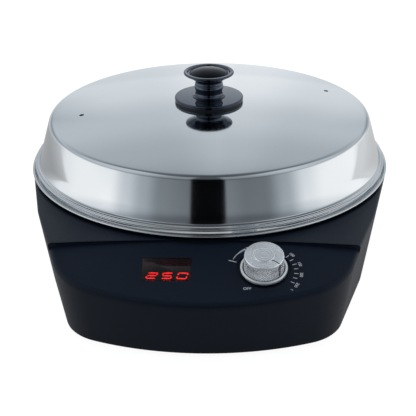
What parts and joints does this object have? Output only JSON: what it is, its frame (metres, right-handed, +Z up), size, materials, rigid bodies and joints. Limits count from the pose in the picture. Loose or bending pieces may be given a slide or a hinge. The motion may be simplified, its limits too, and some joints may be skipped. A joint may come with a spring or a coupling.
{
  "type": "electric injera maker",
  "caption": "Countertop round hot plate in a low moulded body, with a lift-off domed steel lid, a temperature dial and a lit number display.",
  "frame": {"origin": "centre of the footprint, on the surface that the rubber feet stand on", "axes": "+Z up, +X to the right as the user sees it, -Y towards the control panel, +Y towards the power inlet"},
  "size_m": [0.4359, 0.5246, 0.2174],
  "materials": {
    "body_plastic": "fine moulded texture, satin",
    "base_steel": "powder coated sheet",
    "foot_rubber": "matt",
    "inner_steel": "plain pressed sheet",
    "fibre_board": "felted fibre",
    "plate_coating": "dark non-stick coating on a casting",
    "element_sheath": "heat-darkened sheath",
    "ring_steel": "polished",
    "lid_steel": "mirror polished, spun",
    "inlet_plastic": "moulded",
    "pin_brass": "nickel plated",
    "circuit_board": "solder mask",
    "relay_case": "moulded",
    "winding_tape": "polyester tape",
    "terminal_plastic": "moulded",
    "display_case": "black filled",
    "lit_digits": "lit red segments",
    "window_acrylic": "smoked red, polished",
    "bezel_chrome": "polished",
    "dial_metal": "turned, fine knurl on the side",
    "cutout_ceramic": "glazed",
    "knob_plastic": "gloss moulded",
    "button_plastic": "polished insert",
    "zinc_steel": "zinc plated",
    "shaft_steel": "turned"
  },
  "bodies": {
    "base": {"housing": "body_plastic", "base_plate": "base_steel", "foot_front_left": "foot_rubber", "foot_front_right": "foot_rubber", "foot_back_left": "foot_rubber", "foot_back_right": "foot_rubber", "foot_screws": "zinc_steel", "housing_screws": "zinc_steel", "support_posts": "zinc_steel", "post_bolts": "zinc_steel", "heat_shield": "inner_steel", "insulation_board": "fibre_board", "griddle_plate": "plate_coating", "outer_element": "element_sheath", "inner_element": "element_sheath", "element_clamps": "zinc_steel", "clamp_screws": "zinc_steel", "temperature_probe": "zinc_steel", "probe_bracket": "zinc_steel", "thermal_cutout": "cutout_ceramic", "trim_ring": "ring_steel", "inlet_socket": "inlet_plastic", "inlet_pins": "pin_brass", "inlet_screws": "zinc_steel", "power_board": "circuit_board", "power_relay": "relay_case", "transformer": "winding_tape", "terminal_block": "terminal_plastic", "board_pillars": "zinc_steel", "board_screws": "zinc_steel", "display_board": "circuit_board", "display_module": "display_case", "display_digits": "lit_digits", "display_window": "window_acrylic", "display_screws": "zinc_steel", "dial_control": "zinc_steel", "control_nut": "zinc_steel", "dial_bezel": "bezel_chrome"},
    "lid": {"lid_shell": "lid_steel", "knob_upper_disc": "knob_plastic", "knob_lower_disc": "knob_plastic", "lid_knob": "knob_plastic", "knob_button": "button_plastic", "knob_screw": "zinc_steel", "knob_washer": "zinc_steel"},
    "dial": {"temperature_dial": "dial_metal", "dial_shaft": "shaft_steel"}
  },
  "joints": [
    {"name": "lid_lift", "type": "slide", "parent": "base", "child": "lid", "axis": [0, 0, 1], "range_m": [0, 0.15]},
    {"name": "dial_turn", "type": "hinge", "parent": "base", "child": "dial", "pos_m": [0.064, -0.21068, 0.08368], "axis": [0, -0.2672, 0.9636], "range_deg": [-15, 285]}
  ]
}
